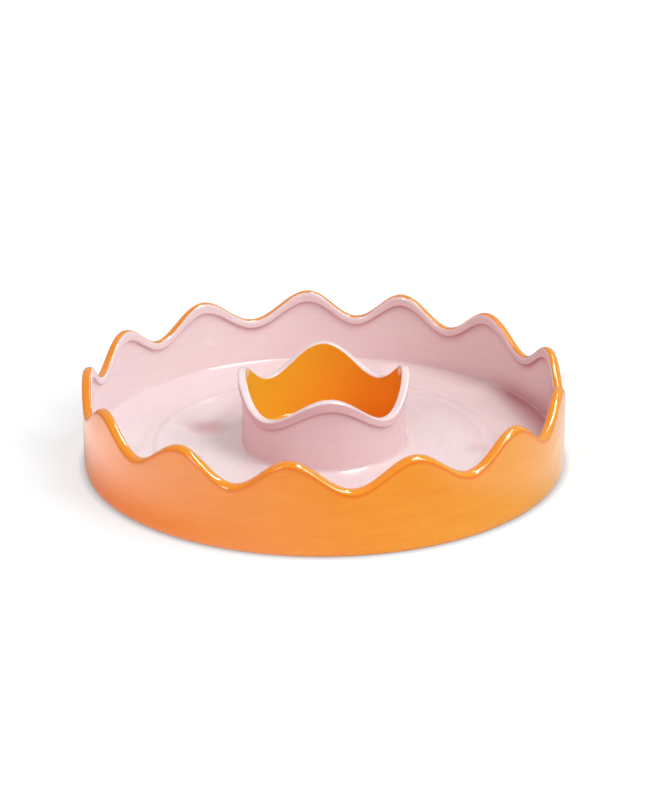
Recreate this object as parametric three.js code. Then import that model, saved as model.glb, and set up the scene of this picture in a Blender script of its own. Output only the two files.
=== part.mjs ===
// Chip and dip server: a round glazed tray with a wavy rim and a fixed, wavy-rimmed dip well.
// Millimetres, +Z up. The origin is the middle of the ring that the tray stands on.
// The clay members are formed apart and luted together: each one is a solid of its own.

import * as THREE from 'three';

// ---- Driving dimensions ----

const trayRadius = 165;          // outside of the tray
const trayWallThickness = 4.6;   // upright wall, below its rim band
const trayBandThickness = 2.4;   // how far the rim band stands proud of the wall, inside
const trayOuterEdge = 4.2;       // width of the rim's outer rounding
const trayInnerEdge = 2.2;       // width of its inner rounding, on the band
const trayEdgeDrop = 3.6;        // how far both roundings fall from the rim's top
const trayHeight = 55.2;         // rim above the table, half way between crest and dip
const trayWave = 9.6;            // rise of a crest above that, and fall of a dip below it
const trayCrests = [14, 43, 69, 94, 123, 151, 178, 206, 235, 262, 291, 320, 347];

const wellRadius = 53.1;         // inside of the dip well
const wellWallThickness = 3.6;
const wellBandThickness = 2.1;   // the well's band is on its outside
const wellInnerEdge = 1.2;
const wellOuterEdge = 1.9;
const wellEdgeDrop = 1.6;
const wellHeight = 54.6;
const wellWave = 9.9;
const wellCrests = [6, 90, 176, 274];

const bandDepth = 7.2;           // height of a rim band, from the rim's top to its lower edge
const bandSwell = 0.9;           // how much deeper a band is under a crest, and shallower in a dip
const bandCornerRadius = 1.6;    // rounding of a band's lower edge

const floorThickness = 8.2;
const footHeight = 4;            // depth of the recess under the floor
const heelHeight = 5.4;          // rounding of the outer edge at the table
const heelInset = 2;
const edgeFootWidth = 10;        // flat foot of the floor, just inside the wall
const innerFootRadius = 114;     // middle of the second foot, half way in
const innerFootWidth = 7;
const footDraft = 1.2;           // lean of each foot's side over its height
const ringSwell = 0.4;           // trace of the second foot, raised in the floor above it

const trayFillet = 2.2;          // floor to tray wall
const wellCove = 3.2;            // floor to outside of the well
const wellFillet = 3;            // floor to inside of the well

const traySteps = 156;           // facets round the tray
const wellSteps = 88;            // facets round the well

// ---- Derived sizes ----

const floorTop = footHeight + floorThickness;
const trayInside = trayRadius - trayWallThickness;
const wellOutside = wellRadius + wellWallThickness;

// Each rim: the wall's banded face, +1 where the band is outside it and -1 where it is inside,
// both thicknesses, the width of each edge's rounding and their drop, mean height and wave.
const trayRim = {
  face: trayInside,
  side: -1,
  wall: trayWallThickness,
  band: trayBandThickness,
  wallEdge: trayOuterEdge,
  bandEdge: trayInnerEdge,
  drop: trayEdgeDrop,
  height: trayHeight,
  rise: trayWave,
};
const wellRim = {
  face: wellOutside,
  side: 1,
  wall: wellWallThickness,
  band: wellBandThickness,
  wallEdge: wellInnerEdge,
  bandEdge: wellOuterEdge,
  drop: wellEdgeDrop,
  height: wellHeight,
  rise: wellWave,
};

// ---- Shape helpers ----

// A rim's height at an angle: 1 on each crest, -1 half way between two crests.
// Crests are compass-like bearings in degrees from +X, spaced by hand and not quite evenly.
function wave(crests, angle) {
  const bearing = THREE.MathUtils.euclideanModulo(THREE.MathUtils.radToDeg(angle), 360);
  const next = crests.find((crest) => crest > bearing) ?? crests[0] + 360;
  const last = crests.findLast((crest) => crest <= bearing) ?? crests.at(-1) - 360;
  return Math.cos((2 * Math.PI * (bearing - last)) / (next - last));
}

// A profile point: radius, height, and how far it rises where the rim wave is at its crest.
function point(radius, height, rise = 0) {
  return { radius, height, rise };
}

// Points along an elliptic arc, from one angle to another in degrees, both ends included.
function arc(radius, height, acrossRadius, uprightRadius, from, to, steps, rise = 0) {
  return Array.from({ length: steps + 1 }, (unused, step) => {
    const angle = THREE.MathUtils.degToRad(THREE.MathUtils.lerp(from, to, step / steps));
    const across = radius + acrossRadius * Math.cos(angle);
    const upright = height + uprightRadius * Math.sin(angle);
    return point(across, upright, rise);
  });
}

// Turns a counter-clockwise profile about +Z, and lifts its rim points by the wave.
function turned(profile, steps, crests) {
  const section = profile.map(({ radius, height }) => new THREE.Vector2(radius, height));
  const geometry = new THREE.LatheGeometry(section, steps);
  geometry.rotateX(Math.PI / 2);
  const position = geometry.attributes.position;
  for (let index = 0; index < position.count; index += 1) {
    const { rise } = profile[index % profile.length];
    if (rise === 0) continue;
    const step = Math.floor(index / profile.length) % steps;
    const angle = (step / steps) * 2 * Math.PI - Math.PI / 2;
    position.setZ(index, position.getZ(index) + rise * wave(crests, angle));
  }
  geometry.computeVertexNormals();
  return geometry;
}

function closed(profile) {
  return [...profile, profile[0]];
}

// ---- The two walls' rims ----

// A rim is a narrow flat top with two elliptic edges. It is cut at the wall's banded face, and
// both parts are listed from the wall's plain side to the band's.
function rimTop({ face, side, wall, band, wallEdge, bandEdge, drop, height, rise }) {
  const plain = side > 0 ? 180 : 0;
  const seam = point(face, height, rise);
  const wallAt = face - side * (wall - wallEdge);
  const bandAt = face + side * (band - bandEdge);
  const wallArc = arc(wallAt, height - drop, wallEdge, drop, plain, 90, 3, rise);
  const bandArc = arc(bandAt, height - drop, bandEdge, drop, 90, 180 - plain, 2, rise);
  return { wall: [...wallArc, seam], band: [seam, ...bandArc] };
}

function rimBandProfile(rim) {
  const { face, side, band, height, rise } = rim;
  const lowEdge = height - bandDepth;
  const lowRise = rise - bandSwell;
  const round = bandCornerRadius;
  const cornerAt = face + side * (band - round);
  const corner = arc(cornerAt, lowEdge + round, side * round, round, 0, -90, 3, lowRise);
  return closed([...rimTop(rim).band, ...corner, point(face, lowEdge, lowRise)]);
}

// ---- Members ----

// The floor slab: its two feet hold a recess off the table, and its edge meets the wall.
function trayFloor() {
  const innerFootInside = innerFootRadius - innerFootWidth / 2;
  const innerFootOutside = innerFootRadius + innerFootWidth / 2;
  const edgeFootInside = trayInside - edgeFootWidth;
  const profile = [
    point(0, footHeight),
    point(innerFootInside - footDraft, footHeight),
    point(innerFootInside, 0),
    point(innerFootOutside, 0),
    point(innerFootOutside + footDraft, footHeight),
    point(edgeFootInside - footDraft, footHeight),
    point(edgeFootInside, 0),
    point(trayInside, 0),
    point(trayInside, floorTop),
    point(innerFootOutside, floorTop),
    point(innerFootRadius, floorTop + ringSwell),
    point(innerFootInside, floorTop),
    point(0, floorTop),
  ];
  return turned(profile, traySteps, trayCrests);
}

// The wall is wrapped round the slab's edge and smoothed down onto the slab inside.
function trayWall() {
  const heel = arc(trayRadius - heelInset, heelHeight, heelInset, heelHeight, -90, 0, 3);
  const filletAt = trayInside - trayFillet;
  const fillet = arc(filletAt, floorTop + trayFillet, trayFillet, trayFillet, 0, -90, 3);
  const joint = [point(trayInside, floorTop), point(trayInside, 0)];
  return turned(closed([...heel, ...rimTop(trayRim).wall, ...fillet, ...joint]), traySteps, trayCrests);
}

function trayRimBand() {
  return turned(rimBandProfile(trayRim), traySteps, trayCrests);
}

function dipWellWall() {
  const coveAt = wellOutside + wellCove;
  const cove = arc(coveAt, floorTop + wellCove, -wellCove, wellCove, -90, 0, 3);
  const filletAt = wellRadius - wellFillet;
  const fillet = arc(filletAt, floorTop + wellFillet, wellFillet, wellFillet, 0, -90, 3);
  const profile = [...cove, ...rimTop(wellRim).wall.reverse(), ...fillet];
  return turned(closed(profile), wellSteps, wellCrests);
}

function dipWellRimBand() {
  return turned(rimBandProfile(wellRim).reverse(), wellSteps, wellCrests);
}

// ---- Assembly ----

const orangeGlaze = { color: 0xf2983c, roughness: 0.12, metalness: 0 };
const pinkGlaze = { color: 0xf0cdcf, roughness: 0.12, metalness: 0 };

const server = new THREE.Group();

function addMember(name, geometry, glaze) {
  const member = new THREE.Mesh(geometry, new THREE.MeshStandardMaterial(glaze));
  member.name = name;
  server.add(member);
}

addMember('tray_floor', trayFloor(), pinkGlaze);
addMember('tray_wall', trayWall(), orangeGlaze);
addMember('tray_rim_band', trayRimBand(), pinkGlaze);
addMember('dip_well_wall', dipWellWall(), pinkGlaze);
addMember('dip_well_rim_band', dipWellRimBand(), pinkGlaze);

export default server;
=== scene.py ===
"""Chip and dip server: the dressed model, its studio and its camera.

One fine piece stands for each CAD node. Each repeats that node's profile from part.mjs with many
more stations, rounded edges and smooth normals, and shares one glaze material with the others.
"""

import math

import bpy
import numpy as np
from mathutils import Matrix, Vector


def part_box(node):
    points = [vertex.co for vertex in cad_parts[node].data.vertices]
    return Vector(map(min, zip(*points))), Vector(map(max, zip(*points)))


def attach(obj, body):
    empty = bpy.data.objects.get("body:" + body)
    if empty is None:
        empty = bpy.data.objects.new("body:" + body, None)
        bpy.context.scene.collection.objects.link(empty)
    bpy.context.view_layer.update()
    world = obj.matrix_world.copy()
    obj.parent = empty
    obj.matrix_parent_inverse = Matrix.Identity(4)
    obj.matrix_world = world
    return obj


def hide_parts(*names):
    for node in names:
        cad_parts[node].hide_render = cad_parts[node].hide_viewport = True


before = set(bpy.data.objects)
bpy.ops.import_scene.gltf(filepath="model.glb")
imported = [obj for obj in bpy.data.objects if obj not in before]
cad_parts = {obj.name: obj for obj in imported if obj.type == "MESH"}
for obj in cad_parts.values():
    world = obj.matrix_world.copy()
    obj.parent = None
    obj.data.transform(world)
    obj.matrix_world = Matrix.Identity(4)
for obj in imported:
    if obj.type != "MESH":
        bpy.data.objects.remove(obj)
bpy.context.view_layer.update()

# ---- Sizes, in metres, worked out from the frame ----

# The sizes are those of part.mjs, where the tray's radius is 165 mm. Only two forms are shaped
# otherwise here: the inner foot's trace is wider and softer, and the tray's fillet is tighter.
drawn_radius = 165.0
tray_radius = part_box("tray_wall")[1].x
mm = tray_radius / drawn_radius

tray_wall_thickness = 4.6 * mm
tray_band_thickness = 2.4 * mm
tray_outer_edge = 4.2 * mm
tray_inner_edge = 2.2 * mm
tray_edge_drop = 3.6 * mm
tray_height = 55.2 * mm
tray_wave = 9.6 * mm
tray_crests = [14, 43, 69, 94, 123, 151, 178, 206, 235, 262, 291, 320, 347]

well_radius = 53.1 * mm
well_wall_thickness = 3.6 * mm
well_band_thickness = 2.1 * mm
well_inner_edge = 1.2 * mm
well_outer_edge = 1.9 * mm
well_edge_drop = 1.6 * mm
well_height = 54.6 * mm
well_wave = 9.9 * mm
well_crests = [6, 90, 176, 274]

band_depth = 7.2 * mm
band_swell = 0.9 * mm
band_corner = 1.6 * mm
band_cove = 0.8 * mm

foot_height = 4.0 * mm
ring_swell = 0.4 * mm
ring_width = 10.0 * mm
floor_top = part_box("tray_floor")[1].z - ring_swell
heel_height = 5.4 * mm
heel_inset = 2.0 * mm
edge_foot_width = 10.0 * mm
inner_foot_radius = 114.0 * mm
inner_foot_width = 7.0 * mm
foot_draft = 1.2 * mm
foot_edge = 0.8 * mm

tray_fillet = 1.7 * mm
well_cove = 3.2 * mm
well_fillet = 3.0 * mm

tray_inside = tray_radius - tray_wall_thickness
well_outside = well_radius + well_wall_thickness

# How far the orange reaches over each rim from the wall's plain face.
tray_orange_reach = 8.5 * mm
well_orange_reach = 0.9 * mm

# How dark the glaze is drawn (up to 1) on each band's face, on the outside of the well's wall and
# in the tray's fillet, as pooled glaze and painted shade, the well's wall and the fillet mostly
# painted shade; how pale (down to -1) inside the well and at the heel, as thin glaze and painted
# light; and how far the painted shade runs down each wall from under the band.
tray_face_pool_and_shade = 0.15
well_face_pool_and_shade = 0.75
well_wall_shade = 0.4
tray_fillet_shade = 0.25
well_inside_thin_and_lit = -0.8
heel_thin_and_lit = -0.2
tray_shade_drop = 6.0 * mm
well_shade_drop = 3.2 * mm

# Each rim: the wall's banded face, +1 where the band is outside it and -1 where it is inside, both
# thicknesses, the width of each edge's rounding and their drop, height, wave, the orange's reach,
# how dark or pale the glaze is drawn over the wall's edge and past the seam, and on the band's face,
# as pooled and thin glaze and as painted shade and light, and how far painted shade runs under the
# band.
TRAY_RIM = {
    "face": tray_inside,
    "side": -1,
    "wall": tray_wall_thickness,
    "band": tray_band_thickness,
    "wall_edge": tray_outer_edge,
    "band_edge": tray_inner_edge,
    "drop": tray_edge_drop,
    "height": tray_height,
    "rise": tray_wave,
    "reach": tray_orange_reach,
    "pool_and_light_over": [1.0, -0.3, -0.3],
    "pool_and_light_past": [-0.2, 0.4, 0.0, tray_face_pool_and_shade],
    "face_pool_and_shade": tray_face_pool_and_shade,
    "shade_drop": tray_shade_drop,
}
WELL_RIM = {
    "face": well_outside,
    "side": 1,
    "wall": well_wall_thickness,
    "band": well_band_thickness,
    "wall_edge": well_inner_edge,
    "band_edge": well_outer_edge,
    "drop": well_edge_drop,
    "height": well_height,
    "rise": well_wave,
    "reach": well_orange_reach,
    "pool_and_light_over": [-0.8, -0.8, -1.0],
    "pool_and_light_past": [-1.0, -0.5, -0.3, well_face_pool_and_shade],
    "face_pool_and_shade": well_face_pool_and_shade,
    "shade_drop": well_shade_drop,
}

# Where along each rounding, from 0 to 1, the values of pool_and_light_over and pool_and_light_past
# hold.
OVER_AT = [0.0, 0.35, 1.0]
PAST_AT = [0.0, 0.4, 0.5, 1.0]

tray_steps = 624
well_steps = 352
edge_steps = 14
corner_steps = 8
cove_steps = 5
fillet_steps = 10
flare_steps = 12
trace_steps = 14

# Lengths too small to see: between runs that meet, of a radius that counts as the axis, and the
# least radius that a normal is worked out for.
same_place = 1e-7
on_axis = 1e-9
least_radius = 1e-6


# ---- Profiles ----
# A profile is a closed list of runs, counter-clockwise in radius and height. A run is a table of
# stations and the number of its coat. A station is a radius, a height, its rise with the wave, the
# direction of travel (two values), the distance past the colour line, and how dark the glaze is
# drawn there, for pooled glaze and painted shade (below 0, how pale, for thin glaze and painted
# light).

GLAZE, CLAY = 0, 1
RADIUS, HEIGHT, RISE, GO_RADIUS, GO_HEIGHT, LINE, POOL_AND_PAINTED_LIGHT = range(7)
ORANGE_SIDE, PINK_SIDE = -1.0, 1.0


def run(radius, height, rise, go_radius, go_height, line=PINK_SIDE, coat=GLAZE, pool=0.0):
    """A run of stations, its directions made unit length."""
    length = np.hypot(go_radius, go_height)
    columns = [radius, height, rise, go_radius / length, go_height / length, line, pool]
    table = np.stack(np.broadcast_arrays(*[np.asarray(c, float) for c in columns]), axis=1)
    return table, coat


def arc(centre, across, upright, start, end, steps, rise=0.0, line=PINK_SIDE, coat=GLAZE, pool=0.0):
    """Stations along an elliptic arc about a centre, from one angle to another in degrees."""
    radius, height = centre
    angle = np.radians(np.linspace(start, end, steps + 1))
    way = math.copysign(1.0, end - start)
    return run(
        radius + across * np.cos(angle),
        height + upright * np.sin(angle),
        rise,
        -way * across * np.sin(angle),
        way * upright * np.cos(angle),
        line,
        coat,
        pool,
    )


def straight(start, end, coat=GLAZE):
    """A straight run between two stations."""
    table = np.stack([start, end])
    table[:, GO_RADIUS] = end[RADIUS] - start[RADIUS]
    table[:, GO_HEIGHT] = end[HEIGHT] - start[HEIGHT]
    table[:, GO_RADIUS:LINE] /= np.hypot(table[0, GO_RADIUS], table[0, GO_HEIGHT])
    return table, coat


def between(first, second, coat):
    """A straight run from the end of one run to the start of another."""
    return straight(first[0][-1], second[0][0], coat)


def station(radius, height, line=PINK_SIDE):
    """One upright station."""
    return run([radius], [height], 0.0, 0.0, 1.0, line)


def level_in(start, end, height, line=PINK_SIDE, pool=0.0):
    """Two stations on a level face that is travelled inwards."""
    return run([start, end], height, 0.0, -1.0, 0.0, line, GLAZE, pool)


def backwards(runs):
    """The same runs travelled the other way."""
    turned_round = []
    for table, coat in reversed(runs):
        table = table[::-1].copy()
        table[:, GO_RADIUS:LINE] *= -1.0
        turned_round.append((table, coat))
    return turned_round


def joined(runs):
    """Fills each gap between runs with a straight one, and closes the profile."""
    full = []
    for index, (table, coat) in enumerate(runs):
        full.append((table, coat))
        following = runs[(index + 1) % len(runs)][0]
        if np.abs(table[-1, :RISE] - following[0, :RISE]).max() > same_place:
            full.append(straight(table[-1], following[0]))
    return full


def chained(runs):
    """A profile's places in order, and its spans: both ends' numbers and stations, and the coat."""
    places = []
    spans = []
    for table, coat in joined(runs):
        if not places:
            places.append(table[0])
        for start, end in zip(table, table[1:]):
            places.append(end)
            spans.append((len(places) - 2, len(places) - 1, start, end, coat))
    places.pop()
    return places, spans


# ---- Turning a profile ----


def wave(crests, angle):
    """The wave and its slope per radian, at an array of angles in radians."""
    bearing = np.degrees(angle) % 360.0
    ring = np.array([crests[-1] - 360, *crests, crests[0] + 360], float)
    place = np.searchsorted(ring, bearing, side="right") - 1
    gap = ring[place + 1] - ring[place]
    phase = 2.0 * math.pi * (bearing - ring[place]) / gap
    return np.cos(phase), -np.sin(phase) * 360.0 / gap


def ring_normals(place, slope, across, up):
    """The surface's normals all round one place of a profile, leaned by the wave's slope."""
    radius = max(place[RADIUS], least_radius)
    outward = np.full(len(slope), radius * place[GO_HEIGHT])
    around = place[RISE] * slope * place[GO_RADIUS]
    upward = np.full(len(slope), -radius * place[GO_RADIUS])
    normal = np.stack([outward, around, upward], axis=1)
    normal /= np.linalg.norm(normal, axis=1)[:, None]
    outward, around, upward = normal.T
    return np.stack([outward * across - around * up, outward * up + around * across, upward], axis=1)


def span_corners(low, high, start, end, steps):
    """The corners of a span's faces, three where it ends on the axis: place, station and turns."""
    turn = np.arange(steps)
    ahead = (turn + 1) % steps
    if start[RADIUS] < on_axis:
        return [(low, start, None), (high, end, ahead), (high, end, turn)]
    if end[RADIUS] < on_axis:
        return [(low, start, turn), (low, start, ahead), (high, end, None)]
    return [(low, start, turn), (low, start, ahead), (high, end, ahead), (high, end, turn)]


def placed(name, points, faces, normals, coats, marks):
    """One object of these points and faces, with its normals, coats and corner values."""
    mesh = bpy.data.meshes.new(name)
    mesh.from_pydata(points, [], faces)
    mesh.polygons.foreach_set("material_index", coats)
    mesh.polygons.foreach_set("use_smooth", [True] * len(faces))
    for title, values in marks.items():
        mesh.attributes.new(title, "FLOAT", "CORNER").data.foreach_set("value", values)
    mesh.normals_split_custom_set(np.array(normals).tolist())
    piece = bpy.data.objects.new(name, mesh)
    bpy.context.scene.collection.objects.link(piece)
    return piece


def turned(name, runs, steps, crests):
    """Turns a closed profile about +Z as one mesh, with a smooth normal at every face corner."""
    places, spans = chained(runs)
    angle = np.arange(steps) * 2.0 * math.pi / steps
    lift, slope = wave(crests, angle)
    across, up = np.cos(angle), np.sin(angle)

    points = []
    first = []
    for place in places:
        first.append(len(points))
        if place[RADIUS] < on_axis:
            points.append((0.0, 0.0, place[HEIGHT]))
            continue
        height = place[HEIGHT] + place[RISE] * lift
        points.extend(zip(place[RADIUS] * across, place[RADIUS] * up, height))

    faces = []
    normals = []
    coats = []
    marks = {"glaze_line": [], "pool": []}
    for low, high, start, end, coat in spans:
        if start[RADIUS] < on_axis and end[RADIUS] < on_axis:
            continue
        corners = span_corners(low, high % len(places), start, end, steps)
        ring = []
        leans = []
        for index, place, turns in corners:
            normal = ring_normals(place, slope, across, up)
            if turns is None:
                ring.append(np.full(steps, first[index]))
                leans.append(np.tile([0.0, 0.0, math.copysign(1.0, normal[0, 2])], (steps, 1)))
            else:
                ring.append(first[index] + turns)
                leans.append(normal[turns])
        faces.extend(np.stack(ring, axis=1).tolist())
        normals.extend(np.stack(leans, axis=1).reshape(-1, 3))
        coats.extend([coat] * steps)
        marks["glaze_line"].extend([place[LINE] for _, place, _ in corners] * steps)
        marks["pool"].extend([place[POOL_AND_PAINTED_LIGHT] for _, place, _ in corners] * steps)
    return placed(name, points, faces, normals, coats, marks)


# ---- The rims ----


def quarter_length(across, upright):
    """About the length of a quarter of an ellipse."""
    return 0.25 * math.pi * (across + upright)


def rim_top(rim):
    """A rim's narrow top and its two rounded edges, cut at the banded face into wall and band.

    Both parts lead away from the wall's plain side. Their colour line value is the distance past
    the orange's reach.
    """
    side = rim["side"]
    plain = 180.0 if side > 0 else 0.0
    wall_edge = rim["wall_edge"]
    band_edge = rim["band_edge"]
    wall_at = rim["face"] - side * (rim["wall"] - wall_edge)
    band_at = rim["face"] + side * (rim["band"] - band_edge)
    drop = rim["drop"]
    top = rim["height"]
    rise = rim["rise"]
    wall = arc((wall_at, top - drop), wall_edge, drop, plain, 90, edge_steps, rise)
    band = arc((band_at, top - drop), band_edge, drop, 90, 180 - plain, edge_steps, rise)
    share = np.linspace(0.0, 1.0, edge_steps + 1)
    over = quarter_length(wall_edge, drop)
    past = quarter_length(band_edge, drop)
    wall[0][:, LINE] = share * over - rim["reach"]
    # Painted light and shade: the rounding is drawn paler on top, and on the tray's rim darker where
    # it turns down to the wall.
    wall[0][:, POOL_AND_PAINTED_LIGHT] = np.interp(share, OVER_AT, rim["pool_and_light_over"])
    band[0][:, LINE] = over + abs(band_at - wall_at) + share * past - rim["reach"]
    band[0][:, POOL_AND_PAINTED_LIGHT] = np.interp(share, PAST_AT, rim["pool_and_light_past"])
    seam_line = over + abs(rim["face"] - wall_at) - rim["reach"]
    seam = run([rim["face"]], top, rise, side, 0.0, seam_line, GLAZE, rim["pool_and_light_past"][0])
    return [wall, seam], [seam, band]


def band_runs(rim):
    """A rim band: its share of the top, its face, its rounded lower edge and the cove below."""
    face = rim["face"]
    side = rim["side"]
    low_edge = rim["height"] - band_depth
    low_rise = rim["rise"] - band_swell
    corner_at = (face + side * (rim["band"] - band_corner), low_edge + band_corner)
    growing = np.linspace(0.0, 1.0, corner_steps + 1) ** 3
    # Painted shade: the band's lower corner and the cove below it are drawn darker.
    corner_shade = rim["face_pool_and_shade"] + (1.0 - rim["face_pool_and_shade"]) * growing
    corner = arc(
        corner_at, side * band_corner, band_corner, 0, -90, corner_steps, low_rise, pool=corner_shade
    )
    cove_at = (face + side * band_cove, low_edge - band_cove)
    cove = arc(cove_at, -side * band_cove, band_cove, 90, 0, cove_steps, low_rise, pool=1.0)
    return [*rim_top(rim)[1], corner, cove]


def below_band(rim, shade_below=0.0):
    """Stations down the wall's face from under its band, drawn darker as painted shade under the
    band.
    """
    low_edge = rim["height"] - band_depth - band_cove
    low_rise = rim["rise"] - band_swell
    drops = np.array([0.0, 0.16, 0.44, 1.0]) * rim["shade_drop"]
    pooled_and_shaded = shade_below + (1.0 - shade_below) * np.array([1.0, 0.7, 0.25, 0.0])
    return run(rim["face"], low_edge - drops, low_rise, 0.0, -1.0, pool=pooled_and_shaded)


def below_rim(rim):
    """Stations up the plain face to the rim's rounding, under which a darker line is painted as
    shade.
    """
    shoulder = rim["height"] - rim["drop"]
    plain = rim["face"] - rim["side"] * rim["wall"]
    drops = np.array([2.2, 1.1, 0.4, 0.0]) * mm
    painted_shade = [0.0, 0.35, 0.9, 1.0]
    return run(plain, shoulder - drops, rim["rise"], 0.0, 1.0, ORANGE_SIDE, GLAZE, painted_shade)


# ---- Members ----


def foot_rounding(radius, start):
    """The rounded edge of a foot's sole, a quarter turn from an angle in degrees."""
    return arc((radius, foot_edge), foot_edge, foot_edge, start, start + 90, 5, coat=CLAY)


def foot_trace():
    """The trace of the inner foot in the floor above it: a low swell in the pink glaze."""
    half = ring_width / 2.0
    share = np.linspace(-1.0, 1.0, trace_steps + 1)
    swell = ring_swell * (0.5 + 0.5 * np.cos(math.pi * share))
    lean = -ring_swell * 0.5 * math.pi * np.sin(math.pi * share)
    pooled_at = [-1.0, -0.7, -0.3, 0.4, 0.75, 1.0]
    pooled_and_shaded = np.interp(share, pooled_at, [0.0, 0.2, 0.0, 0.0, 0.1, 0.0])
    radius = inner_foot_radius - share * half
    return run(radius, floor_top + swell, 0.0, -half, lean, pool=pooled_and_shaded)


def tray_floor():
    """The slab, with its recess, two rounded feet and the trace of the inner foot above."""
    inside = inner_foot_radius - inner_foot_width / 2.0
    outside = inner_foot_radius + inner_foot_width / 2.0
    edge_inside = tray_inside - edge_foot_width
    middle = run([0.0, inside - foot_draft], foot_height, 0.0, 1.0, 0.0)
    inner_left = foot_rounding(inside + foot_edge, 180)
    inner_right = foot_rounding(outside - foot_edge, 270)
    recess = run([outside + foot_draft, edge_inside - foot_draft], foot_height, 0.0, 1.0, 0.0)
    edge_left = foot_rounding(edge_inside + foot_edge, 180)
    edge_end = run([tray_inside], [0.0], 0.0, 1.0, 0.0, coat=CLAY)
    inner_foot = [inner_left, between(inner_left, inner_right, CLAY), inner_right]
    edge_foot = [edge_left, between(edge_left, edge_end, CLAY)]
    under_well = (well_radius + well_outside) / 2.0
    top = [
        level_in(tray_inside, tray_inside - 0.1 * mm, floor_top),
        foot_trace(),
        level_in(under_well + 2 * mm, under_well + 1 * mm, floor_top),
        level_in(under_well - 1 * mm, 0.0, floor_top, ORANGE_SIDE, well_inside_thin_and_lit),
    ]
    runs = [middle, *inner_foot, recess, *edge_foot, *top]
    return turned("tray_floor_glazed", runs, tray_steps, tray_crests)


def tray_wall():
    """The wall wrapped round the slab, rounded at the table and smoothed down onto the slab."""
    heel_at = (tray_radius - heel_inset, heel_height)
    # Painted light: the heel is drawn paler, partly thin glaze and partly the floor's light catching
    # it.
    coated = (ORANGE_SIDE, GLAZE, heel_thin_and_lit)
    heel = arc(heel_at, heel_inset, heel_height, -90, 0, fillet_steps, 0.0, *coated)
    fillet_at = (tray_inside - tray_fillet, floor_top + tray_fillet)
    # Painted shade: the fillet is drawn darker in the corner between wall and floor.
    painted_shade = tray_fillet_shade * np.sin(np.linspace(0.0, math.pi, fillet_steps + 1))
    fillet = arc(fillet_at, tray_fillet, tray_fillet, 0, -90, fillet_steps, pool=painted_shade)
    above_fillet = station(tray_inside, floor_top + tray_fillet + 2.5 * mm)
    back = station(tray_inside, floor_top)
    foot = station(tray_inside, 0.0, ORANGE_SIDE)
    sole = between(foot, heel, CLAY)
    outside = [heel, below_rim(TRAY_RIM), *rim_top(TRAY_RIM)[0]]
    inside = [below_band(TRAY_RIM), above_fillet, fillet]
    return turned("tray_wall_glazed", [*outside, *inside, back, foot, sole], tray_steps, tray_crests)


def tray_rim_band():
    """The strip along the inside of the tray's rim."""
    return turned("tray_rim_band_glazed", band_runs(TRAY_RIM), tray_steps, tray_crests)


def dip_well_wall():
    """The well's wall, flared into the floor outside and rounded into it inside."""
    cove_at = (well_outside + well_cove, floor_top + well_cove)
    # Painted shade: the well's outer wall and its cove are drawn darker rose.
    growing = np.linspace(0.0, well_wall_shade, flare_steps + 1)
    cove = arc(cove_at, -well_cove, well_cove, -90, 0, flare_steps, pool=growing)
    outer_face = backwards([below_band(WELL_RIM, well_wall_shade)])
    over = backwards(rim_top(WELL_RIM)[0])
    fillet_at = (well_radius - well_fillet, floor_top + well_fillet)
    coated = (ORANGE_SIDE, GLAZE, well_inside_thin_and_lit)
    fillet = arc(fillet_at, well_fillet, well_fillet, 0, -90, fillet_steps, 0.0, *coated)
    return turned("dip_well_wall_glazed", [cove, *outer_face, *over, fillet], well_steps, well_crests)


def dip_well_rim_band():
    """The strip along the outside of the well's rim."""
    return turned("dip_well_rim_band_glazed", backwards(band_runs(WELL_RIM)), well_steps, well_crests)


# ---- Materials ----


def linear(red, green, blue):
    """A colour written as 0 to 255, as a linear one."""
    parts = [value / 255.0 for value in (red, green, blue)]
    return tuple(c / 12.92 if c <= 0.04045 else ((c + 0.055) / 1.055) ** 2.4 for c in parts) + (1.0,)


ORANGE = linear(239, 141, 33)
ORANGE_CLOUD = linear(242, 149, 39)
ORANGE_STROKE = linear(236, 132, 29)
ORANGE_HAIR = linear(245, 156, 50)
# A paler orange for thin glaze inside the well, and painted light on the rim's top and at the heel.
ORANGE_THIN_AND_LIT = linear(246, 170, 50)
# Painted shade: the darker orange of the line under the tray's rim.
ORANGE_SHADED = linear(233, 116, 12)
PINK = linear(238, 208, 209)
PINK_CLOUD = linear(241, 213, 213)
PINK_STROKE = linear(234, 198, 200)
PINK_HAIR = linear(244, 221, 221)
# Darker rose for pooled glaze and for painted shade in creases, under the bands and on shaded sides.
PINK_POOLED_AND_SHADED = linear(208, 136, 143)
CLAY_PALE = linear(214, 200, 180)
CLAY_GRAIN = linear(232, 221, 204)
CLAY_CLOUD = linear(204, 186, 162)

# Patches of the floor drawn darker rose: x, y and reach in millimetres, and depth. The first is
# painted shadow beside the well, on its side away from the light; the second is a smaller one on the
# right.
FLOOR_PATCHES = [(-80.0, 27.0, 20.0, 0.85), (105.0, -14.0, 14.0, 0.35)]

# The part of a normal, of 1, that counts as facing fully one way.
FULLY = 0.9

glaze_refraction = 1.6
brush_squeeze = 9.0
line_waver = 0.6 * mm
line_softness = 0.15 * mm

# Noise scales, per metre, and the depths of the marks that show in the gloss.
stroke_scale = 26.0
hair_scale = 75.0
cloud_scale = 16.0
waver_scale = 90.0
ripple_scale = 38.0
pebble_scale = 420.0
grain_scale = 900.0
clay_cloud_scale = 40.0
ripple_depth = 0.35 * mm
pebble_depth = 0.012 * mm
grain_depth = 0.08 * mm


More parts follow.
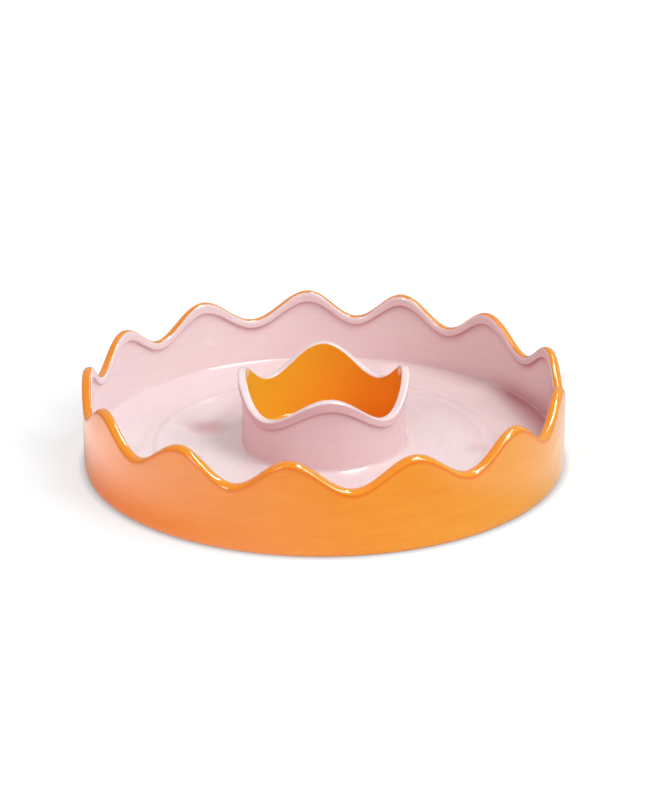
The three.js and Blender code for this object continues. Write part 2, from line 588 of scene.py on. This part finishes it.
class Nodes:
    """Short calls for building one node tree."""

    def __init__(self, tree):
        self.tree = tree
        tree.nodes.clear()

    def add(self, kind, **values):
        node = self.tree.nodes.new(kind)
        for name, value in values.items():
            setattr(node, name, value)
        return node

    def link(self, start, end):
        self.tree.links.new(start, end)

    def put(self, socket, value):
        if hasattr(value, "is_linked"):
            self.link(value, socket)
        else:
            socket.default_value = value

    def math(self, operation, first, second=0.0, third=0.0):
        node = self.add("ShaderNodeMath", operation=operation)
        for socket, value in zip(node.inputs, (first, second, third)):
            self.put(socket, value)
        return node.outputs[0]

    def split(self, vector):
        node = self.add("ShaderNodeSeparateXYZ")
        self.link(vector, node.inputs[0])
        return node.outputs

    def apart(self, where, point):
        node = self.add("ShaderNodeVectorMath", operation="DISTANCE")
        self.link(where, node.inputs[0])
        node.inputs[1].default_value = point
        return node.outputs["Value"]

    def attribute(self, name):
        return self.add("ShaderNodeAttribute", attribute_name=name).outputs["Fac"]

    def noise(self, vector, scale, detail=2.0, roughness=0.5):
        node = self.add("ShaderNodeTexNoise")
        self.put(node.inputs["Vector"], vector)
        node.inputs["Scale"].default_value = scale
        node.inputs["Detail"].default_value = detail
        node.inputs["Roughness"].default_value = roughness
        return node.outputs["Fac"]

    def spread(self, value, low, high, to_low=0.0, to_high=1.0, smooth=False):
        node = self.add("ShaderNodeMapRange")
        node.interpolation_type = "SMOOTHSTEP" if smooth else "LINEAR"
        for socket, number in zip(node.inputs, (value, low, high, to_low, to_high)):
            self.put(socket, number)
        return node.outputs["Result"]

    def mix(self, share, first, second, blend="MIX"):
        node = self.add("ShaderNodeMix", data_type="RGBA", blend_type=blend)
        self.put(node.inputs[0], share)
        self.put(node.inputs[6], first)
        self.put(node.inputs[7], second)
        return node.outputs[2]

    def tinted(self, colour, share, red_share):
        """A colour with its channels multiplied, to paint lit and shaded sides onto a coat."""
        tint = self.add("ShaderNodeCombineColor")
        self.put(tint.inputs[0], red_share)
        self.put(tint.inputs[1], share)
        self.put(tint.inputs[2], share)
        return self.mix(1.0, colour, tint.outputs[0], "MULTIPLY")

    def bump(self, height, distance, strength, normal=None):
        node = self.add("ShaderNodeBump")
        self.put(node.inputs["Height"], height)
        node.inputs["Distance"].default_value = distance
        node.inputs["Strength"].default_value = strength
        if normal is not None:
            self.link(normal, node.inputs["Normal"])
        return node.outputs["Normal"]

    def fired(self, colour, roughness, normal):
        """Ends a material with one glossy or matt surface, and returns its shader."""
        shader = self.add("ShaderNodeBsdfPrincipled")
        self.link(colour, shader.inputs["Base Color"])
        self.link(roughness, shader.inputs["Roughness"])
        self.link(normal, shader.inputs["Normal"])
        output = self.add("ShaderNodeOutputMaterial")
        self.link(shader.outputs[0], output.inputs["Surface"])
        return shader


def material_nodes(name):
    """A new material and its empty node tree."""
    material = bpy.data.materials.new(name)
    material.use_nodes = True
    return material, Nodes(material.node_tree)


class Surface:
    """What the glaze depends on: the place, the way it faces (which paints light and shade onto it),
    its brush marks, and its pooling and painted light and shade.
    """

    def __init__(self, nodes):
        self.where = nodes.add("ShaderNodeTexCoord").outputs["Object"]
        self.across, self.back, self.height = nodes.split(self.where)
        normal = nodes.split(nodes.add("ShaderNodeTexCoord").outputs["Normal"])
        self.facing = normal["X"]
        self.level = normal["Z"]
        brushed = self.brushed(nodes)
        self.strokes = nodes.noise(brushed, stroke_scale, 3.0, 0.5)
        self.hairs = nodes.noise(brushed, hair_scale, 3.0, 0.6)
        self.cloud = nodes.noise(self.where, cloud_scale, 2.0)
        self.pool = nodes.attribute("pool")

    def brushed(self, nodes):
        """The place, squeezed up and outwards so that noise turns into level strokes."""
        x_squared = nodes.math("MULTIPLY", self.across, self.across)
        y_squared = nodes.math("MULTIPLY", self.back, self.back)
        radius = nodes.math("POWER", nodes.math("ADD", x_squared, y_squared), 0.5)
        outward = nodes.math("MULTIPLY", nodes.math("ADD", self.height, radius), brush_squeeze)
        place = nodes.add("ShaderNodeCombineXYZ")
        nodes.link(self.across, place.inputs["X"])
        nodes.link(self.back, place.inputs["Y"])
        nodes.link(outward, place.inputs["Z"])
        return place.outputs[0]


def orange_coat(nodes, surface):
    """Brushed orange with painted light and shade: darker and redder on what faces left, away from
    the light, and redder low down there; brighter on what faces right; yellower where thin, which on
    the rim's top and at the heel is painted light.
    """
    facing = surface.facing
    thin_and_lit = nodes.spread(surface.pool, 0.0, -1.0, smooth=True)
    orange = nodes.mix(nodes.spread(surface.cloud, 0.3, 0.7), ORANGE, ORANGE_CLOUD)
    orange = nodes.mix(nodes.spread(surface.strokes, 0.35, 0.7, 0.0, 0.5), orange, ORANGE_STROKE)
    orange = nodes.mix(nodes.spread(surface.hairs, 0.4, 0.75, 0.0, 0.4), orange, ORANGE_HAIR)
    orange = nodes.mix(thin_and_lit, orange, ORANGE_THIN_AND_LIT)
    # Painted light and shade: brighter and less red on what faces right, darker and redder on what
    # faces left; thin parts facing right lighter still; on the left-facing side redder low down and
    # less red high up.
    light = nodes.spread(facing, -FULLY, FULLY, 0.84, 1.15)
    light = nodes.math("MULTIPLY_ADD", nodes.math("MULTIPLY", thin_and_lit, facing), 0.22, light)
    red = nodes.spread(facing, -FULLY, FULLY, 1.08, 0.95)
    down = nodes.spread(surface.height, 4.0 * mm, 45.0 * mm, 0.09, -0.06)
    red = nodes.math("MULTIPLY_ADD", down, nodes.spread(facing, -0.3, -FULLY), red)
    orange = nodes.tinted(orange, light, red)
    # Painted shade: the line under the tray's rim is drawn in the darker orange.
    return nodes.mix(nodes.spread(surface.pool, 0.0, 1.0), orange, ORANGE_SHADED)


def darker_floor_patches(nodes, surface):
    """Patches of the tray's floor drawn darker rose, deepest in their middles; the first is painted
    shadow beside the well.
    """
    deepest = 0.0
    for x, y, reach, depth in FLOOR_PATCHES:
        apart = nodes.apart(surface.where, (x * mm, y * mm, floor_top))
        patch = nodes.spread(apart, reach * mm, 0.0, 0.0, depth, smooth=True)
        deepest = nodes.math("MAXIMUM", patch, deepest)
    return deepest


def painted_shade_right(nodes, surface):
    """Painted shade at the foot of the wall on the right, mostly on the floor, where that wall blocks
    the light.
    """
    apart = nodes.apart(surface.where, (0.0, 0.0, floor_top))
    near_wall = nodes.spread(apart, tray_inside - 21 * mm, tray_inside - 2 * mm)
    right = nodes.spread(surface.across, 116 * mm, 137 * mm, smooth=True)
    low = nodes.spread(surface.height, floor_top + 15 * mm, floor_top + 2 * mm)
    depth = nodes.math("MULTIPLY", nodes.math("MULTIPLY", near_wall, right), low)
    return nodes.math("MULTIPLY", depth, nodes.spread(surface.level, -FULLY, FULLY))


def pink_coat(nodes, surface):
    """Brushed pink, with painted light: paler on the floor, on what faces right and towards the near
    left, where more light falls; deeper where it has pooled and where painted shade falls.
    """
    facing = surface.facing
    pink = nodes.mix(nodes.spread(surface.cloud, 0.3, 0.7), PINK, PINK_CLOUD)
    pink = nodes.mix(nodes.spread(surface.strokes, 0.4, 0.75, 0.0, 0.4), pink, PINK_STROKE)
    pink = nodes.mix(nodes.spread(surface.hairs, 0.45, 0.75, 0.0, 0.3), pink, PINK_HAIR)
    # Painted light: clear is a lightness share, paler on what faces right and up and towards the near
    # left.
    behind = nodes.math("ADD", surface.across, surface.back)
    near_left = nodes.spread(behind, -60 * mm, -150 * mm)
    near_left_floor = nodes.math("MULTIPLY", near_left, surface.level)
    clear = 1.0
    for value, weight in (
        (facing, 0.14),
        (surface.level, 0.17),
        (surface.across, -0.066 / tray_radius),
        (near_left_floor, 0.11),
    ):
        clear = nodes.math("MULTIPLY_ADD", value, weight, clear)
    pink = nodes.tinted(pink, clear, nodes.math("MULTIPLY_ADD", clear, 0.35, 0.65))
    pool = nodes.spread(surface.pool, 0.0, 1.0)
    pooled_and_shaded = nodes.math("MAXIMUM", pool, darker_floor_patches(nodes, surface))
    pooled_and_shaded = nodes.math("MULTIPLY", pooled_and_shaded, nodes.spread(surface.cloud, 0.3, 0.7, 0.45, 0.9))
    # Painted shade: the darkening is heavier on what faces left, away from the light, and lighter on
    # what faces right.
    pooled_and_shaded = nodes.math("MULTIPLY", pooled_and_shaded, nodes.spread(facing, -FULLY, FULLY, 1.5, 0.25))
    pooled_and_shaded = nodes.math("MAXIMUM", pooled_and_shaded, painted_shade_right(nodes, surface))
    return nodes.mix(pooled_and_shaded, pink, PINK_POOLED_AND_SHADED)


def glaze():
    """Both glazes under one glassy surface: orange up to the wavering colour line, pink past it."""
    material, nodes = material_nodes("brushed_glaze")
    surface = Surface(nodes)
    waver = nodes.noise(surface.where, waver_scale, 3.0)
    waver = nodes.spread(waver, 0.0, 1.0, -line_waver, line_waver)
    line = nodes.math("ADD", nodes.attribute("glaze_line"), waver)
    pink_share = nodes.spread(line, -line_softness, line_softness, smooth=True)
    colour = nodes.mix(pink_share, orange_coat(nodes, surface), pink_coat(nodes, surface))
    ripple = nodes.noise(surface.where, ripple_scale, 2.0, 0.4)
    pebble = nodes.noise(surface.where, pebble_scale, 2.0, 0.5)
    normal = nodes.bump(ripple, ripple_depth, 0.5)
    normal = nodes.bump(pebble, pebble_depth, 0.5, normal)
    roughness = nodes.spread(surface.strokes, 0.2, 0.8, 0.05, 0.10)
    shader = nodes.fired(colour, roughness, normal)
    shader.inputs["IOR"].default_value = glaze_refraction
    return material


def bare_clay():
    """The unglazed soles of the feet: pale, matt, fine-grained fired clay."""
    material, nodes = material_nodes("bare_clay")
    where = nodes.add("ShaderNodeTexCoord").outputs["Object"]
    grain = nodes.noise(where, grain_scale, 4.0, 0.6)
    cloud = nodes.noise(where, clay_cloud_scale, 3.0)
    pale = nodes.mix(nodes.spread(grain, 0.35, 0.65), CLAY_PALE, CLAY_GRAIN)
    colour = nodes.mix(nodes.spread(cloud, 0.35, 0.7, 0.0, 0.5), pale, CLAY_CLOUD)
    roughness = nodes.spread(grain, 0.3, 0.7, 0.7, 0.9)
    nodes.fired(colour, roughness, nodes.bump(grain, grain_depth, 0.6))
    return material


def dress():
    """Makes every piece, and puts each in its CAD node's place."""
    coats = [glaze(), bare_clay()]
    members = [
        (tray_floor, "tray_floor", "floor_glaze"),
        (tray_wall, "tray_wall", "wall_glaze"),
        (tray_rim_band, "tray_rim_band", "rim_band_glaze"),
        (dip_well_wall, "dip_well_wall", "well_glaze"),
        (dip_well_rim_band, "dip_well_rim_band", "well_band_glaze"),
    ]
    for make, node, slot in members:
        piece = make()
        for coat in coats:
            piece.data.materials.append(coat)
        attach(piece, "root")
        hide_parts(node)


# ---- Studio ----

WHITE = (1.0, 1.0, 1.0, 1.0)
BLACK = (0.0, 0.0, 0.0, 1.0)
PLAIN_FLOOR = (0.95, 0.95, 0.95, 1.0)
CAMERA_FLOOR = (0.42, 0.45, 0.465, 1.0)
GLOSS_FLOOR = (0.05, 0.05, 0.05, 1.0)

fill_strength = 0.565
floor_reach = 12.0
contact_distance = 0.006
lamp_distance = 3.0

# Each lamp: name, azimuth, elevation, width and height in degrees, and its share of the light.
PANELS = [
    ("high_panel", -31.0, 57.0, 28.0, 28.0, 0.355),
    ("front_strip", -38.0, 40.0, 24.0, 11.0, 0.145),
]
GLEAMS = [
    ("high_gleam", -3.0, 68.0, 46.0, 6.0, 0.50),
    ("right_gleam", -26.0, 50.0, 6.0, 52.0, 0.45),
    ("left_gleam", -126.0, 20.0, 8.0, 26.0, 0.18),
]
LEFT_PANEL = ("left_panel", -128.0, 30.0, 30.0, 24.0, 0.16)


def lookers(nodes):
    """1 for a camera ray, and 1 for any ray that looks: camera, reflection or transmission."""
    path = nodes.add("ShaderNodeLightPath").outputs
    seen = nodes.math("MAXIMUM", path["Is Camera Ray"], path["Is Glossy Ray"])
    seen = nodes.math("MAXIMUM", seen, path["Is Transmission Ray"])
    return path["Is Camera Ray"], seen


def chosen(nodes, share, first, second, output_kind):
    """Ends a tree with the first shader where the share is 0 and the second where it is 1."""
    both = nodes.add("ShaderNodeMixShader")
    nodes.link(share, both.inputs[0])
    nodes.link(first.outputs[0], both.inputs[1])
    nodes.link(second.outputs[0], both.inputs[2])
    output = nodes.add(output_kind)
    nodes.link(both.outputs[0], output.inputs["Surface"])


def white_surroundings():
    """Even light all round. The camera sees it white; a reflection sees grey, paler behind."""
    world = bpy.data.worlds.new("white_studio")
    bpy.context.scene.world = world
    world.use_nodes = True
    nodes = Nodes(world.node_tree)
    is_camera, seen = lookers(nodes)
    behind = nodes.split(nodes.add("ShaderNodeTexCoord").outputs["Generated"])["Y"]
    shown = nodes.spread(behind, -0.2, 0.75, 0.20, 0.65, smooth=True)
    shown = nodes.math("MAXIMUM", shown, is_camera)
    fill = nodes.add("ShaderNodeBackground")
    fill.inputs["Color"].default_value = WHITE
    fill.inputs["Strength"].default_value = fill_strength
    backdrop = nodes.add("ShaderNodeBackground")
    backdrop.inputs["Color"].default_value = WHITE
    nodes.link(shown, backdrop.inputs["Strength"])
    chosen(nodes, seen, fill, backdrop, "ShaderNodeOutputWorld")


def reflected_glow(nodes, x, y, away):
    """How bright a reflection sees the floor.

    It is brightest beyond both sides of the tray, softer in front, and dimmer close to the wall and
    far off.
    """
    far_left = nodes.spread(x, -100 * mm, -200 * mm, 0.0, 0.85)
    far_left = nodes.math("MULTIPLY", far_left, nodes.spread(y, 70 * mm, -20 * mm, 0.1, 1.0))
    far_left = nodes.math("MULTIPLY", far_left, nodes.spread(away, 175 * mm, 235 * mm, 0.1, 1.0))
    right = nodes.spread(x, 150 * mm, 190 * mm, 0.0, 0.65)
    near_left = nodes.spread(x, 30 * mm, -80 * mm, 0.0, 0.75)
    front = nodes.spread(y, 140 * mm, -20 * mm, 0.10, 0.40, smooth=True)
    front = nodes.math("ADD", front, near_left)
    front = nodes.math("MULTIPLY", front, nodes.spread(away, 165 * mm, 320 * mm, 1.3, 0.65))
    off_wall = nodes.spread(away, 170 * mm, 210 * mm)
    off_wall = nodes.math("MAXIMUM", nodes.spread(x, -160 * mm, -40 * mm), off_wall)
    front = nodes.math("MULTIPLY", front, nodes.spread(off_wall, 0.0, 1.0, 0.25, 1.0))
    glow = nodes.math("ADD", nodes.math("ADD", far_left, right), front)
    return nodes.math("MULTIPLY", glow, nodes.spread(away, 300 * mm, 420 * mm, 1.0, 0.35))


def looked_at_floor(nodes, is_camera):
    """The floor as the camera or a reflection sees it: its own shading, and a glow.

    For the camera the glow lifts it to white, less so in the contact shadow right under the heel.
    """
    where = nodes.add("ShaderNodeTexCoord").outputs["Object"]
    x, y, _ = nodes.split(where)
    away = nodes.apart(where, (0.0, 0.0, 0.0))
    contact = nodes.add("ShaderNodeAmbientOcclusion")
    contact.inputs["Distance"].default_value = contact_distance
    open_share = nodes.spread(contact.outputs["AO"], 0.0, 1.0, 0.3, 1.0)
    camera_glow = nodes.spread(away, 200 * mm, 600 * mm, 0.60, 0.75)
    camera_glow = nodes.math("MULTIPLY", camera_glow, open_share)
    shaded = nodes.add("ShaderNodeBsdfDiffuse")
    colour = nodes.mix(is_camera, GLOSS_FLOOR, nodes.mix(open_share, BLACK, CAMERA_FLOOR))
    nodes.link(colour, shaded.inputs["Color"])
    glow = nodes.add("ShaderNodeMix", data_type="FLOAT")
    nodes.put(glow.inputs[0], is_camera)
    nodes.put(glow.inputs[2], reflected_glow(nodes, x, y, away))
    nodes.put(glow.inputs[3], camera_glow)
    glowing = nodes.add("ShaderNodeEmission")
    nodes.link(glow.outputs[0], glowing.inputs["Strength"])
    lifted = nodes.add("ShaderNodeAddShader")
    nodes.link(shaded.outputs[0], lifted.inputs[0])
    nodes.link(glowing.outputs[0], lifted.inputs[1])
    return lifted


def white_floor():
    """A wide plain floor, pale to the light that falls on it and white to the camera."""
    material, nodes = material_nodes("studio_white")
    is_camera, seen = lookers(nodes)
    plain = nodes.add("ShaderNodeBsdfDiffuse")
    plain.inputs["Color"].default_value = PLAIN_FLOOR
    chosen(nodes, seen, plain, looked_at_floor(nodes, is_camera), "ShaderNodeOutputMaterial")
    mesh = bpy.data.meshes.new("studio_floor")
    signs = [(-1, -1), (1, -1), (1, 1), (-1, 1)]
    corners = [(x * floor_reach, y * floor_reach, 0.0) for x, y in signs]
    mesh.from_pydata(corners, [], [(0, 1, 2, 3)])
    mesh.materials.append(material)
    floor = bpy.data.objects.new("studio_floor", mesh)
    bpy.context.scene.collection.objects.link(floor)


def direction(azimuth, elevation):
    """A unit vector from a bearing, in degrees from +X, and a height above the horizon."""
    bearing = math.radians(azimuth)
    height = math.radians(elevation)
    level = math.cos(height)
    return Vector((math.cos(bearing) * level, math.sin(bearing) * level, math.sin(height)))


def soft_lamp(name, azimuth, elevation, width, height, share):
    """A far soft panel. Its width and height are angles; its share is of a white surface's light."""
    lamp = bpy.data.lights.new(name, "AREA")
    lamp.shape = "RECTANGLE"
    lamp.size = 2.0 * lamp_distance * math.tan(math.radians(width) / 2.0)
    lamp.size_y = 2.0 * lamp_distance * math.tan(math.radians(height) / 2.0)
    lamp.energy = share * math.pi**2 * lamp_distance**2
    holder = bpy.data.objects.new(name, lamp)
    way = direction(azimuth, elevation)
    holder.location = way * lamp_distance
    holder.rotation_mode = "QUATERNION"
    holder.rotation_quaternion = way.to_track_quat("Z", "Y")
    bpy.context.scene.collection.objects.link(holder)
    return holder


def lamps():
    """Two panels at the front right, three strips seen only in the gloss, one that gloss misses."""
    for panel in PANELS:
        soft_lamp(*panel)
    for gleam in GLEAMS:
        soft_lamp(*gleam).visible_diffuse = False
    soft_lamp(*LEFT_PANEL).visible_glossy = False


def camera():
    """The photograph's view: a long lens, straight in front and 22 degrees up."""
    elevation = 21.88
    distance = 2.0727
    aim = Vector((-0.9 * mm, 0.0, 40.2 * mm))
    tilt = math.radians(-0.338)
    data = bpy.data.cameras.new("camera")
    data.lens = 134.87
    data.sensor_width = 36.0
    data.clip_start = 0.05
    data.clip_end = 50.0
    eye = bpy.data.objects.new("camera", data)
    away = direction(-90.0, elevation)
    eye.location = aim + away * distance
    look = away.to_track_quat("Z", "Y").to_matrix()
    eye.rotation_mode = "QUATERNION"
    eye.rotation_quaternion = (look @ Matrix.Rotation(tilt, 3, "Z")).to_quaternion()
    bpy.context.scene.collection.objects.link(eye)
    bpy.context.scene.camera = eye


bpy.context.scene.view_settings.view_transform = "Standard"
camera()
dress()
white_surroundings()
white_floor()
lamps()
